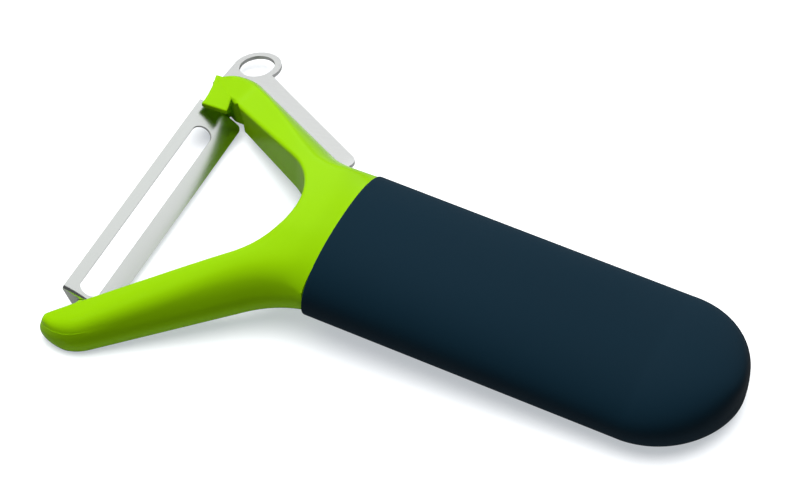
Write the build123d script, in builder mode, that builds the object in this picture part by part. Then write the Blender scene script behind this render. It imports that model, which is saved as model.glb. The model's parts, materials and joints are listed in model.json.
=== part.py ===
from build123d import *
import os
from math import acos, asin, atan2, cos, degrees, hypot, pi, radians, sin, tan

# Y-shaped vegetable peeler with a swivel blade, lying on its back.
# X runs along the handle towards its end, Y along the blade, Z up.
# The +Y arm carries the loop that digs out potato eyes. All sizes are in millimetres.
# The origin is the middle of the flat under the handle's end, on which the peeler rests.
# Places along the handle are given from the blade's pivot axis.

os.makedirs("parts", exist_ok=True)

# One overrun serves every cut that has to pass a surface
overrun = 4.0

# Distance from the blade's pivot axis to the middle of the resting flat
rest_from_pivot = 111.0

# Handle and soft grip
handle_end = 127.7
grip_front = 42.3
grip_front_width = 37.6
grip_rear_width = 38.4
grip_front_level = 11.4
grip_front_above = 8.4
grip_front_below = 7.2
grip_rear_level = 7.3
grip_rear_above = 6.6
grip_rear_below = 7.6
grip_end_radius = 17.8
grip_squareness = 2.21
grip_lip_round = 0.8
lip_turns = (0, 30, 60, 90)
end_blunt_share = 0.46
end_turns = (0, 15, 30, 45, 60, 75, 86)

# Tang of the frame inside the grip
tang_end = 112.0
tang_width = 25.0
tang_thickness = 6.5
tang_corner = 2.5
key_slot_length = 11.0
key_slot_width = 6.0
key_slots = 3

# Crease line of the frame: a sloping plane where the domed top meets the side wall
crease_rise = 5.4
crease_tilt = 12.1

# Outline of the frame in the crease plane
neck_half_width = 17.7
neck_blend = 20.0
neck_blend_place = 42.0
tip_radius = 8.4
tip_forward = 0.26
tip_offset = 1.8
nose_reach = 5.6

# Side wall below the crease
wall_depth = 5.6
wall_bulge = 0.6
wall_bulge_depth = 2.6
wall_tuck = 0.9
front_tuck = 2.2

# Domed shoulder above the crease: an arc that starts steep and flattens
dome_radius = 10.3
dome_start_angle = 66.0
dome_end_angle = 10.0
dome_steps = 5

# Top surface: height and crown radius where the arms and the neck cross the peeler
top_at_grip = 19.8
crown_at_grip = 60.0
crown_at_crotch = 130.0
crown_at_arms = 600.0
top_place_share = (-0.21, 0.19, 0.52, 0.76, 1.0)
top_height_share = (0.262, 0.535, 0.768, 0.925, 1.0)

# Opening between the arms
crotch_radius = 18.0
crotch_center = 14.0
tip_wall_gap = 2.6
underside_flare = 6.5
underside_rise = 2.4

# Chin that fills the neck out to the handle's thickness
chin_start = 30.0
chin_start_half_width = 11.0
chin_start_above = 3.0
chin_start_below = 3.0
chin_start_level = 12.5
grip_proud = 0.4

# Swivel blade
blade_span = 59.6
sheet = 0.5
pivot_height = 3.8
front_reach = 4.7
front_rise = 3.0
rear_reach = 4.8
rear_drop = 1.9
blade_crown = 1.15
slot_front = 2.3
slot_rear = 1.65
slot_center = -2.4
slot_length = 52.0
rear_corner = 1.5
ear_radius = 3.0

# Pivot pins and the tapered bosses that hold them
pin_radius = 0.9
pin_play = 0.05
pin_depth = 4.0
pin_show = 0.7
ear_gap = 0.3
boss_radius = 1.5
boss_spread = 30.0
boss_depth = 3.0
swing_radius = 6.2

# Stop lug on the +Y arm, over the blade's end
lug_front = 3.1
lug_rear = 2.8
lug_rear_root = 1.5
lug_overhang = 2.6
lug_gap = 0.3
lug_thickness = 1.3
lug_foot_depth = 3.2
lug_foot_width = 2.4

# Raised crest of the +Y tip, flush with the lug and blended into the shoulder
crest_nose = 3.9
crest_nose_out = 3.5
crest_bend = 0.9
crest_side_out = 5.7
crest_back = 3.4
crest_depth = 5.0
crest_spread = 35.0

# Loop tool: a flat steel strip moulded into the +Y arm, with a ring at its end
loop_x = 0.2
loop_y = 46.0
loop_height = 3.6
strip_pitch = 9.65
strip_roll = 5.7
strip_sheet = 0.8
ring_outer = 5.2
ring_hole = 3.75
strip_angle = 35.3
strip_outer_offset = 0.95
strip_inner_offset = 5.6
strip_end = 44.0
strip_corner = 2.5
flank_depth = 8.5


# Planes set by their distance from the pivot axis, from the middle of the blade and from the table
def across(x):
    """Plane across the handle, with its own X along the blade and its own Y up."""
    return Plane.YZ.offset(x - rest_from_pivot)


def upright(y):
    """Plane along the handle, with its own X from the pivot axis and its own Y up, facing -Y."""
    return Plane(origin=(-rest_from_pivot, y, 0), x_dir=(1, 0, 0), z_dir=(0, -1, 0))


def table(z):
    """Level plane above the table, with its own X from the pivot axis."""
    return Plane(origin=(-rest_from_pivot, 0, z))


end_start = handle_end - grip_end_radius


# Grip surface: superellipse rings whose width, thickness and height change along the handle
def superellipse(half_width, above, below, level):
    """Closed ring around the handle: four Bezier quarters, whose handles reach as far as the squareness asks."""
    diagonal_share = 0.5 ** (1 / grip_squareness)
    handle_share = (8 * diagonal_share - 4) / 3
    with BuildSketch() as ring:
        with BuildLine():
            for reach, height in (
                (half_width, above),
                (-half_width, above),
                (-half_width, -below),
                (half_width, -below),
            ):
                Bezier(
                    (reach, level),
                    (reach, level + height * handle_share),
                    (reach * handle_share, level + height),
                    (0, level + height),
                )
        make_face()
    return ring.sketch


def grip_size(x):
    """Half width, heights above and below the widest level, and that level; even taper up to the end."""
    along = (min(x, end_start) - grip_front) / (end_start - grip_front)
    half_width = (grip_front_width + (grip_rear_width - grip_front_width) * along) / 2
    above = grip_front_above + (grip_rear_above - grip_front_above) * along
    below = grip_front_below + (grip_rear_below - grip_front_below) * along
    level = grip_front_level + (grip_rear_level - grip_front_level) * along
    return half_width, above, below, level


# Outline of the frame, drawn in the crease plane; the sides are pulled in by an inset, the front by its own
crease_plane = Plane(
    origin=(-rest_from_pivot, 0, crease_rise),
    x_dir=(cos(radians(crease_tilt)), 0, sin(radians(crease_tilt))),
    z_dir=(-sin(radians(crease_tilt)), 0, cos(radians(crease_tilt))),
)
tip_middle = Vector(tip_forward, blade_span / 2 + tip_offset)
blend_middle = Vector(neck_blend_place, neck_half_width + neck_blend)
tip_to_blend = blend_middle - tip_middle
arm_angle = degrees(
    asin((tip_radius + neck_blend) / tip_to_blend.length) - atan2(tip_to_blend.Y, tip_to_blend.X)
)
side_normal = Vector(sin(radians(arm_angle)), cos(radians(arm_angle)))
outline_back = grip_front / cos(radians(crease_tilt)) + overrun


def frame_outline(inset, front_inset):
    """Shield shape of neck, arms and tips; half is drawn and mirrored."""
    blend = neck_blend + inset
    tip = tip_middle - side_normal * inset
    front = -nose_reach + front_inset
    nose_angle = degrees(acos((front - tip.X) / tip_radius))
    nose_y = tip.Y + tip_radius * sin(radians(nose_angle))
    with BuildSketch() as outline:
        with BuildLine():
            Line((outline_back, 0), (outline_back, neck_half_width - inset))
            Line((outline_back, neck_half_width - inset), (neck_blend_place, neck_half_width - inset))
            CenterArc(blend_middle, blend, -90, -arm_angle)
            Line(blend_middle - side_normal * blend, tip + side_normal * tip_radius)
            CenterArc(tip, tip_radius, 90 - arm_angle, nose_angle - 90 + arm_angle)
            Line((front, nose_y), (front, 0))
            mirror(about=Plane.XZ)
        make_face()
    return outline.sketch


wall_at_tip = blade_span / 2 + tip_wall_gap
inner_angle = acos(crotch_radius / hypot(wall_at_tip, crotch_center)) - atan2(crotch_center, wall_at_tip)


def opening_outline(spread):
    """The gap between the arms: a round crotch with straight sides that pass the tips at a set width."""
    radius = crotch_radius + spread
    turn = radians(90) - inner_angle
    corner = Vector(crotch_center + radius * cos(turn), radius * sin(turn))
    mouth = -nose_reach - overrun
    mouth_y = corner.Y + (corner.X - mouth) * tan(inner_angle)
    with BuildSketch() as outline:
        with BuildLine():
            Line((mouth, 0), (mouth, mouth_y))
            Line((mouth, mouth_y), (corner.X, corner.Y))
            CenterArc((crotch_center, 0), radius, degrees(turn), -degrees(turn))
            mirror(about=Plane.XZ)
        make_face()
    return outline.sketch


# Loop tool, drawn in its own sloping plane around the middle of the ring
tool_x_dir = Vector(cos(radians(strip_pitch)), 0, sin(radians(strip_pitch)))
tool_y_dir = Vector(0, cos(radians(strip_roll)), -sin(radians(strip_roll)))
tool_plane = Plane(
    origin=(loop_x - rest_from_pivot, loop_y, loop_height),
    x_dir=tool_x_dir,
    z_dir=tool_x_dir.cross(tool_y_dir),
)
along_strip = Vector(cos(radians(strip_angle)), -sin(radians(strip_angle)))
out_of_strip = Vector(sin(radians(strip_angle)), cos(radians(strip_angle)))
flank_x = -ring_outer
inner_start_x = (strip_inner_offset - flank_depth * out_of_strip.Y) / -out_of_strip.X

with BuildPart() as eye_remover:
    with BuildSketch(tool_plane.offset(-strip_sheet / 2)):
        with BuildLine():
            start = (flank_x, 0)
            corner = (flank_x, -flank_depth)
            inner_start = (inner_start_x, -flank_depth)
            inner_end = along_strip * strip_end - out_of_strip * strip_inner_offset
            outer_end = along_strip * strip_end + out_of_strip * strip_outer_offset
            outer_start = out_of_strip * strip_outer_offset
            Polyline(start, corner, inner_start, inner_end, outer_end, outer_start, start)
        make_face()
        Circle(ring_outer)
        Circle(ring_hole, mode=Mode.SUBTRACT)
    extrude(amount=strip_sheet)
    corners = eye_remover.edges().filter_by(Axis(tool_plane.origin, tool_plane.z_dir))
    fillet(corners.sort_by(Axis(tool_plane.origin, tool_plane.x_dir))[-2:], strip_corner)
eye_remover.part.label = "eye_remover"

# Stop lug: a foot in the arm's inner wall and a thin tongue over the blade's end
lug_underside = pivot_height + front_rise + lug_gap
lug_top = lug_underside + lug_thickness
lug_reach = blade_span / 2 - lug_overhang
lug_shoulder = wall_at_tip + lug_gap
lug_root = lug_shoulder + lug_foot_width
with BuildPart() as stop_lug:
    with BuildSketch(across(-lug_front)):
        Polygon(
            (lug_root, lug_underside - lug_foot_depth),
            (lug_root, lug_top),
            (lug_reach, lug_top),
            (lug_reach, lug_underside),
            (lug_shoulder, lug_underside),
            (lug_shoulder, lug_underside - lug_foot_depth),
            align=None,
        )
    extrude(amount=lug_front + lug_rear)
    with BuildSketch(table(0)):
        Polygon(
            (-lug_front, lug_root),
            (-lug_front, lug_reach),
            (lug_rear, lug_reach),
            (lug_rear_root, lug_shoulder),
            (lug_rear_root, lug_root),
            align=None,
        )
    extrude(amount=top_at_grip, mode=Mode.INTERSECT)

# Walls and shoulders of the frame
with BuildPart() as frame_shell:
    # Side wall, bulging a little below the crease
    for depth, inset, front_inset in (
        (0, 0, 0),
        (wall_bulge_depth, -wall_bulge, -wall_bulge),
        (wall_depth, wall_tuck, front_tuck),
    ):
        with BuildSketch(crease_plane.offset(-depth)):
            add(frame_outline(inset, front_inset))
    loft()
    # Domed shoulder from the crease up
    for step in range(dome_steps):
        slope = dome_start_angle + (dome_end_angle - dome_start_angle) * step / (dome_steps - 1)
        inset = dome_radius * (sin(radians(dome_start_angle)) - sin(radians(slope)))
        rise = dome_radius * (cos(radians(slope)) - cos(radians(dome_start_angle)))
        with BuildSketch(crease_plane.offset(rise)):
            add(frame_outline(inset, 0))
    loft()

# Raised crest of the +Y tip, which carries the lug
with BuildPart() as crest:
    with BuildSketch(table(lug_top)):
        Polygon(
            (-lug_front, lug_shoulder),
            (-crest_nose, tip_middle.Y + crest_nose_out),
            (-crest_bend, tip_middle.Y + crest_side_out),
            (crest_back, tip_middle.Y + crest_side_out),
            (crest_back, lug_shoulder),
            align=None,
        )
    extrude(amount=-crest_depth, taper=-crest_spread)
    add(frame_shell.part, mode=Mode.INTERSECT)

# Frame: the Y-shaped moulding with its tang
with BuildPart() as frame:
    add(frame_shell.part)
    # Crowned top surface, from the arm tips up to the neck
    envelope_half_width = tip_middle.Y + tip_radius + overrun
    crowns = (crown_at_arms, crown_at_arms, crown_at_arms, crown_at_crotch, crown_at_grip)
    for place_share, height_share, crown in zip(top_place_share, top_height_share, crowns):
        height = top_at_grip * height_share
        side_drop = crown - (crown**2 - envelope_half_width**2) ** 0.5
        with BuildSketch(across(grip_front * place_share)):
            with BuildLine():
                Line((-envelope_half_width, -crown_at_grip), (envelope_half_width, -crown_at_grip))
                Line((envelope_half_width, -crown_at_grip), (envelope_half_width, height - side_drop))
                ThreePointArc(
                    (envelope_half_width, height - side_drop),
                    (0, height),
                    (-envelope_half_width, height - side_drop),
                )
                Line((-envelope_half_width, height - side_drop), (-envelope_half_width, -crown_at_grip))
            make_face()
    loft(mode=Mode.INTERSECT)
    add(crest.part)
    # Underside flared towards the gap between the arms
    for rise, spread in ((-underside_rise, 2 * underside_flare), (underside_rise, 0)):
        with BuildSketch(crease_plane.offset(rise - wall_depth)):
            add(opening_outline(spread))
    loft(ruled=True, mode=Mode.SUBTRACT)
    # Chin that brings the neck down to the handle's section
    half_width, above, below, level = grip_size(grip_front)
    with BuildSketch(across(chin_start)):
        add(superellipse(chin_start_half_width, chin_start_above, chin_start_below, chin_start_level))
    with BuildSketch(across(grip_front)):
        add(superellipse(half_width - grip_proud, above - grip_proud, below - grip_proud, level))
    loft()
    # Gap between the arms
    with BuildSketch(table(-overrun)):
        add(opening_outline(0))
    extrude(amount=top_at_grip + 2 * overrun, mode=Mode.SUBTRACT)
    # Room for the blade's ends to swing
    with BuildSketch(upright(blade_span / 2 + ear_gap)):
        with Locations((0, pivot_height)):
            Circle(swing_radius)
    extrude(amount=blade_span + 2 * ear_gap, mode=Mode.SUBTRACT)
    # Tapered bosses that hold the pins
    for side in (1, -1):
        with BuildSketch(upright(side * (blade_span / 2 + ear_gap))):
            with Locations((0, pivot_height)):
                Circle(boss_radius)
        extrude(amount=-side * boss_depth, taper=-boss_spread)
    add(stop_lug.part)
    for side in (1, -1):
        with BuildSketch(upright(side * blade_span / 2)):
            with Locations((0, pivot_height)):
                Circle(pin_radius)
        extrude(amount=-side * (ear_gap + pin_depth), mode=Mode.SUBTRACT)
    add(eye_remover.part, mode=Mode.SUBTRACT)
    # Tang inside the grip, with key slots that the soft moulding fills
    for place in (grip_front, tang_end):
        level = grip_size(place)[3]
        with BuildSketch(across(place)):
            with Locations((0, level)):
                RectangleRounded(tang_width, tang_thickness, tang_corner)
    loft(ruled=True)
    slot_pitch = (tang_end - grip_front) / (key_slots + 1)
    with BuildSketch(table(0)):
        for index in range(key_slots):
            with Locations((grip_front + slot_pitch * (index + 1), 0)):
                SlotOverall(key_slot_length, key_slot_width)
    extrude(amount=top_at_grip, mode=Mode.SUBTRACT)
    split(bisect_by=Plane.XY, keep=Keep.TOP)
frame.part.label = "frame"

# Soft grip moulded around the tang: a rounded lip, an even taper, then a rounded end
with BuildPart() as grip:
    for turn in lip_turns:
        place = grip_front + grip_lip_round * (1 - cos(radians(turn)))
        inset = grip_lip_round * (1 - sin(radians(turn)))
        half_width, above, below, level = grip_size(place)
        with BuildSketch(across(place)):
            add(superellipse(half_width - inset, above - inset, below - inset, level))
    loft(ruled=True)
    for place in (grip_front + grip_lip_round, end_start):
        with BuildSketch(across(place)):
            add(superellipse(*grip_size(place)))
    loft(ruled=True)
    for turn in end_turns:
        place = end_start + grip_end_radius * sin(radians(turn))
        half_width, above, below, level = grip_size(place)
        narrowing = cos(radians(turn))
        thinning = narrowing**end_blunt_share
        with BuildSketch(across(place)):
            add(superellipse(half_width * narrowing, above * thinning, below * thinning, level))
    loft()
    split(bisect_by=Plane.XY, keep=Keep.TOP)
    add(frame.part, mode=Mode.SUBTRACT)
grip.part.label = "grip"

# Swivel blade: a crowned sheet with a long slot and an ear folded down at each end
with BuildPart() as blade:
    front = Vector(-front_reach, pivot_height + front_rise)
    rear = Vector(rear_reach, pivot_height - rear_drop)
    chord = (rear - front).normalized()
    upward = Vector(-chord.Y, chord.X)
    crown_point = (front + rear) * 0.5 + upward * blade_crown
    with BuildSketch(upright(blade_span / 2)):
        with BuildLine():
            top_arc = ThreePointArc(front, crown_point, rear)
            Line(rear, rear - upward * sheet)
            ThreePointArc(rear - upward * sheet, crown_point - upward * sheet, front - upward * sheet)
            Line(front - upward * sheet, front)
        make_face()
    extrude(amount=blade_span)
    with BuildSketch(table(0)):
        with Locations(((slot_rear - slot_front) / 2, slot_center)):
            SlotOverall(slot_length, slot_front + slot_rear, rotation=90)
    extrude(amount=top_at_grip, mode=Mode.SUBTRACT)
    for side in (1, -1):
        with BuildSketch(upright(side * blade_span / 2)):
            with BuildLine():
                ThreePointArc(front, crown_point, rear)
                CenterArc((0, pivot_height), ear_radius, 0, 360)
            make_hull()
            with Locations((0, pivot_height)):
                Circle(pin_radius + pin_play, mode=Mode.SUBTRACT)
        extrude(amount=side * sheet)
    with BuildSketch(table(0)):
        with Locations(((rear_reach - front_reach - overrun) / 2, 0)):
            Rectangle(rear_reach + front_reach + overrun, blade_span)
        fillet(vertices().group_by(Axis.X)[-1], rear_corner)
    extrude(amount=top_at_grip, mode=Mode.INTERSECT)
blade.part.label = "blade"

# Pivot pins, pressed into the bosses and through the ears
pins = {}
for side, name in ((1, "pivot_pin_left"), (-1, "pivot_pin_right")):
    with BuildPart() as pin:
        with BuildSketch(upright(side * (blade_span / 2 - sheet - pin_show))):
            with Locations((0, pivot_height)):
                Circle(pin_radius)
        extrude(amount=-side * (pin_show + sheet + ear_gap + pin_depth))
    pin.part.label = name
    pins[name] = pin.part

for piece in (frame.part, grip.part, blade.part, eye_remover.part, *pins.values()):
    export_step(piece, "parts/" + piece.label + ".step")
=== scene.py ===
import json
from types import SimpleNamespace

import bmesh
import bpy
import numpy as np
from bpy.props import FloatProperty, FloatVectorProperty, PointerProperty
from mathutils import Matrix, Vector


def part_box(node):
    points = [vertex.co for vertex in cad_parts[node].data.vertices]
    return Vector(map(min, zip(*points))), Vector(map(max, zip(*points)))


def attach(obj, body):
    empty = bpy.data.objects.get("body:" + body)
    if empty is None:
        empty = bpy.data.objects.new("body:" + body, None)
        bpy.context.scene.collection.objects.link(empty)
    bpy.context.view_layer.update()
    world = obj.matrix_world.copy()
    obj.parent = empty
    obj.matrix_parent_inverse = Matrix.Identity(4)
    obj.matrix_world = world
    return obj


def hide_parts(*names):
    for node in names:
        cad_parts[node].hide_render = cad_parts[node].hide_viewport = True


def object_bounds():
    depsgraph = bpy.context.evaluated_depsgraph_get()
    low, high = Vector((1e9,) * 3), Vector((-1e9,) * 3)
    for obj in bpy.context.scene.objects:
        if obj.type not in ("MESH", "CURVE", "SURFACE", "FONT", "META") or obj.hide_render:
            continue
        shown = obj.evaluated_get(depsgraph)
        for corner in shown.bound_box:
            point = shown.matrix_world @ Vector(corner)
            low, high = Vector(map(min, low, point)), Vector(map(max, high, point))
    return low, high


bl_info = {
    "name": "Vegetable Peeler",
    "version": (1, 0, 0),
    "blender": (4, 5, 0),
    "location": "3D View > Sidebar > Peeler",
    "description": "Builds a Y-shaped peeler: a green frame, a soft grip, a swivel blade and a steel loop",
    "category": "Object",
}

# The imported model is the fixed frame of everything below
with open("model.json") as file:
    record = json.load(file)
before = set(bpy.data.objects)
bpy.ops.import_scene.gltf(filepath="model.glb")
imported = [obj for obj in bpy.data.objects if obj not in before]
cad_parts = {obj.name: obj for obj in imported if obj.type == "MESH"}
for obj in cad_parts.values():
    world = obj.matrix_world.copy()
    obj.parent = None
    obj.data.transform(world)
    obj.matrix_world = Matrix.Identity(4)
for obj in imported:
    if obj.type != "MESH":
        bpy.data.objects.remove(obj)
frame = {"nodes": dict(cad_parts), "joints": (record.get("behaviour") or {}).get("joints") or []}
cad_low, cad_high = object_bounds()

# Pieces are drawn in millimetres, with x from the blade's pivot axis and z from the table
MM = 0.001
pivot = np.array(frame["joints"][0]["pos_m"])
pivot_foot = np.array([pivot[0], 0.0, 0.0])
pivot_height = pivot[2] / MM
HANDLE_BODY = "handle_body"
BLADE_BODY = "blade_body"


# Sizes and colours that a user would change


def length(name, description, millimetres):
    """A length, kept in metres and shown by Blender in the scene's units."""
    return FloatProperty(
        name=name, description=description, default=millimetres * MM,
        min=0.0, precision=5, subtype="DISTANCE",
    )


def angle(name, description, degrees):
    """An angle, kept in radians and shown by Blender in degrees."""
    return FloatProperty(name=name, description=description, default=np.radians(degrees), subtype="ANGLE")


def power(name, description, watts):
    """A lamp's power in watts."""
    return FloatProperty(name=name, description=description, default=watts, min=0.0, unit="POWER")


def colour(name, description, default):
    """A linear colour."""
    return FloatVectorProperty(
        name=name, description=description, default=default, subtype="COLOR", size=3, min=0.0, max=1.0
    )


class FrameSizes(bpy.types.PropertyGroup):
    crease_rise: length("Crease rise", "Height of the crease at the pivot axis", 5.4)
    crease_tilt: angle("Crease tilt", "Slope of the crease", 12.1)
    neck_half_width: length("Neck half width", "Half the neck's width at the crease", 17.7)
    neck_blend: length("Neck blend", "Radius between neck and arm", 20.0)
    neck_blend_place: length("Blend place", "Where the neck starts to widen", 42.0)
    tip_radius: length("Tip radius", "Radius of an arm's tip", 8.4)
    tip_x: length("Tip x", "Middle of the tip, from the pivot axis", 0.26)
    tip_y: length("Tip y", "Middle of the tip, from the middle of the blade", 31.6)
    nose_radius: length("Nose radius", "Rounding between tip and inner wall", 1.2)
    wall_depth: length("Wall depth", "Depth of the side wall below the crease", 5.6)
    wall_bulge: length("Wall bulge", "How far the wall swells below the crease", 0.6)
    wall_bulge_depth: length("Bulge depth", "Depth at which the wall swells most", 2.6)
    wall_tuck: length("Wall tuck", "How far the wall's foot goes in", 0.9)
    front_tuck: length("Front tuck", "How far the nose's foot goes in", 2.2)
    dome_radius: length("Dome radius", "Radius of the shoulder above the crease", 10.3)
    crotch_radius: length("Crotch radius", "Radius of the opening's end", 18.0)
    crotch_center: length("Crotch centre", "Middle of that arc", 14.0)
    wall_at_tip: length("Wall at tip", "Half the gap between the arms at the pivot axis", 32.4)
    edge_round: length("Edge rounding", "Rounding of the inner upper edge", 0.6)
    paint: colour("Colour", "Colour of the moulding", (0.345, 0.72, 0.002))


class GripSizes(bpy.types.PropertyGroup):
    front: length("Front", "Where the grip starts", 42.3)
    end: length("End", "Where the grip ends", 127.7)
    end_radius: length("End radius", "Length of the rounded end", 17.8)
    squareness: FloatProperty(name="Squareness", description="Power of the section", default=2.21, min=1.0)
    lip_round: length("Lip rounding", "Rounding of the front lip", 0.4)
    paint: colour("Colour", "Colour of the soft grip", (0.006, 0.0235, 0.040))


class BladeSizes(bpy.types.PropertyGroup):
    span: length("Span", "Length of the blade between its ears' outer faces", 59.6)
    sheet: length("Sheet", "Thickness of the steel", 0.5)
    crown: length("Crown", "How far the sheet arches", 0.75)
    slot_length: length("Slot length", "Length of the slot", 52.0)
    fold_radius: length("Fold radius", "Rounding where the ears fold down", 0.6)
    paint: colour("Colour", "Colour of the steel", (0.79, 0.82, 0.80))


class LoopSizes(bpy.types.PropertyGroup):
    edge: length("Edge", "Rounding of the stamped edges", 0.22)
    paint: colour("Colour", "Colour of the loop's steel", (0.93, 0.95, 0.94))


class PinSizes(bpy.types.PropertyGroup):
    head_round: length("Head rounding", "Depth of the rounded head", 0.35)
    paint: colour("Colour", "Colour of the pins' steel", (0.66, 0.66, 0.66))


class StageSizes(bpy.types.PropertyGroup):
    azimuth: angle("Azimuth", "Camera's turn round the object", 25.16)
    elevation: angle("Elevation", "Camera's height over the table", 45.93)
    distance: length("Distance", "From the camera to its aim", 765.0)
    aim: FloatVectorProperty(
        name="Aim",
        description="Point the camera looks at, from the pivot axis",
        default=(0.051476, 0.0073185, 0.0068),
        precision=5,
        subtype="TRANSLATION",
    )
    focal_pixels: FloatProperty(
        name="Focal length",
        description="Focal length in pixels of a picture 800 pixels wide",
        default=3843.0,
    )
    key_power: power("Key lamp", "Power of the lamp behind the object", 11.8)
    overhead_power: power("Overhead lamp", "Power of the lamp that lights the table alone", 26.0)
    card_power: power("Card", "Power of the card that glossy surfaces reflect", 8.3)


class PeelerSettings(bpy.types.PropertyGroup):
    frame: PointerProperty(type=FrameSizes)
    grip: PointerProperty(type=GripSizes)
    blade: PointerProperty(type=BladeSizes)
    loop: PointerProperty(type=LoopSizes)
    pins: PointerProperty(type=PinSizes)
    stage: PointerProperty(type=StageSizes)


def in_millimetres(group):
    """The values of a property group, with its lengths in millimetres."""
    kinds = group.bl_rna.properties
    return SimpleNamespace(**{
        key: np.array(getattr(group, key)) / (MM if kinds[key].unit == "LENGTH" else 1.0)
        for key in type(group).__annotations__
    })


# Meshes from numpy arrays


def grid_quads(rows, columns, wrap=False):
    """Quads of a grid of points, counted row by row; wrap joins the last row to the first."""
    row = np.arange(rows if wrap else rows - 1)[:, None]
    column = np.arange(columns - 1)[None, :]
    here, there = row * columns + column, (row + 1) % rows * columns + column
    return np.stack([here, here + 1, there + 1, there], axis=-1).reshape(-1, 4)


def join_shells(*shells):
    """Several (points, faces) pairs as one pair."""
    offsets = np.cumsum([0] + [len(points) for points, faces in shells[:-1]])
    points = np.concatenate([points for points, faces in shells])
    faces = np.concatenate([faces + offset for (_, faces), offset in zip(shells, offsets)])
    return points, faces


def make_piece(name, points, faces, material, body, merge=0.002, smooth_angle=40.0):
    """A mesh object from millimetre points and quads, kept inside the solids' box.

    Points closer than the merge length are joined, which closes seams and poles, and faces are turned
    outwards. Edges sharper than the smooth angle, in degrees, shade as edges."""
    if not np.isfinite(points).all():
        raise ValueError(f"{name}: these sizes don't fit together")
    mesh = bpy.data.meshes.new(name)
    inside = np.clip(points * MM + pivot_foot, cad_low, cad_high)
    mesh.from_pydata(inside.tolist(), [], faces.tolist())
    drawn = bmesh.new()
    drawn.from_mesh(mesh)
    bmesh.ops.remove_doubles(drawn, verts=drawn.verts, dist=merge * MM)
    bmesh.ops.dissolve_degenerate(drawn, edges=drawn.edges, dist=merge * MM * 0.1)
    bmesh.ops.delete(drawn, geom=[vert for vert in drawn.verts if not vert.link_faces], context="VERTS")
    bmesh.ops.recalc_face_normals(drawn, faces=drawn.faces)
    drawn.to_mesh(mesh)
    drawn.free()
    mesh.materials.append(material)
    mesh.shade_smooth()
    mesh.set_sharp_from_angle(angle=np.radians(smooth_angle))
    piece = bpy.data.objects.new(name, mesh)
    bpy.context.scene.collection.objects.link(piece)
    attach(piece, body)
    return piece


def sharpen_rims(mesh):
    """Marks the open edges of a sheet sharp, so that its rim shades flat once the sheet is thick."""
    edge_of_corner = np.empty(len(mesh.loops), dtype=np.int32)
    mesh.loops.foreach_get("edge_index", edge_of_corner)
    open_edges = np.bincount(edge_of_corner, minlength=len(mesh.edges)) == 1
    sharp = mesh.attributes.get("sharp_edge") or mesh.attributes.new("sharp_edge", "BOOLEAN", "EDGE")
    values = np.empty(len(mesh.edges), dtype=bool)
    sharp.data.foreach_get("value", values)
    sharp.data.foreach_set("value", values | open_edges)


def arc_fall(share):
    """How far a quarter circle of radius 1 has come down at a share of its radius from the top."""
    return 1.0 - np.sqrt(1.0 - share**2)


def smooth_lower(first, second, reach):
    """The lower of two heights, rounded by a parabola where they come within reach of each other.

    With a negative reach it is the higher one."""
    near = np.clip(1.0 - np.abs(first - second) / np.abs(reach), 0.0, 1.0)
    chosen = np.minimum(first, second) if np.max(reach) > 0 else np.maximum(first, second)
    return chosen - near**2 * reach / 4.0


def smooth_step(share):
    """Rises from 0 to 1 with level ends."""
    share = np.clip(share, 0.0, 1.0)
    return share * share * (3.0 - 2.0 * share)


def along_path(path, count, gather=1.0):
    """Points spaced along a polyline; gather above 1 crowds them towards its end."""
    steps = np.concatenate([[0.0], np.cumsum(np.hypot(*np.diff(path, axis=0).T))])
    places = steps[-1] * (1.0 - (1.0 - np.linspace(0.0, 1.0, count)) ** gather)
    return np.stack([np.interp(places, steps, path[:, 0]), np.interp(places, steps, path[:, 1])], axis=1)


def arc_points(middle, radius, start, end, count=60):
    """Points on a circular arc; angles in radians."""
    turn = np.linspace(start, end, count)
    return np.stack([middle[0] + radius * np.cos(turn), middle[1] + radius * np.sin(turn)], axis=1)


def closed_ends(count):
    """Numbers of rings with the first and last doubled, and each ring's size: the outer two are points."""
    numbers = np.clip(np.arange(-1, count + 1), 0, count - 1)
    size = np.ones(count + 2)
    size[[0, -1]] = 0.0
    return numbers, size


def revolve_y(radii, places, x, z, around=48):
    """A profile of radii at places along Y, turned about the line through x and z."""
    turn = np.linspace(0.0, 2.0 * np.pi, around + 1)[:, None]
    radii = np.asarray(radii, float)
    x, z = x + radii * np.cos(turn), z + radii * np.sin(turn)
    points = np.stack(np.broadcast_arrays(x, places, z), axis=-1)
    return points.reshape(-1, 3), grid_quads(*x.shape)


# Materials


def new_material(name):
    """An empty node material with its tree, shader and object coordinates."""
    material = bpy.data.materials.new(name)
    material.use_nodes = True
    tree = material.node_tree
    shader = tree.nodes["Principled BSDF"]
    coordinates = tree.nodes.new("ShaderNodeTexCoord")
    return material, tree, shader, coordinates.outputs["Object"]


def noise(tree, vector, scale, detail=3.0, stretch=(1.0, 1.0, 1.0)):
    """Noise on object coordinates, stretched along an axis where it gets a lower share."""
    mapping = tree.nodes.new("ShaderNodeMapping")
    mapping.inputs["Scale"].default_value = stretch
    tree.links.new(vector, mapping.inputs["Vector"])
    texture = tree.nodes.new("ShaderNodeTexNoise")
    texture.inputs["Scale"].default_value = scale
    texture.inputs["Detail"].default_value = detail
    tree.links.new(mapping.outputs["Vector"], texture.inputs["Vector"])
    return texture.outputs["Fac"]


def ramp(tree, factor, low, high):
    """Maps a factor from 0..1 to low..high."""
    mapped = tree.nodes.new("ShaderNodeMapRange")
    mapped.inputs["To Min"].default_value = low
    mapped.inputs["To Max"].default_value = high
    tree.links.new(factor, mapped.inputs["Value"])
    return mapped.outputs["Result"]


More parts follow.
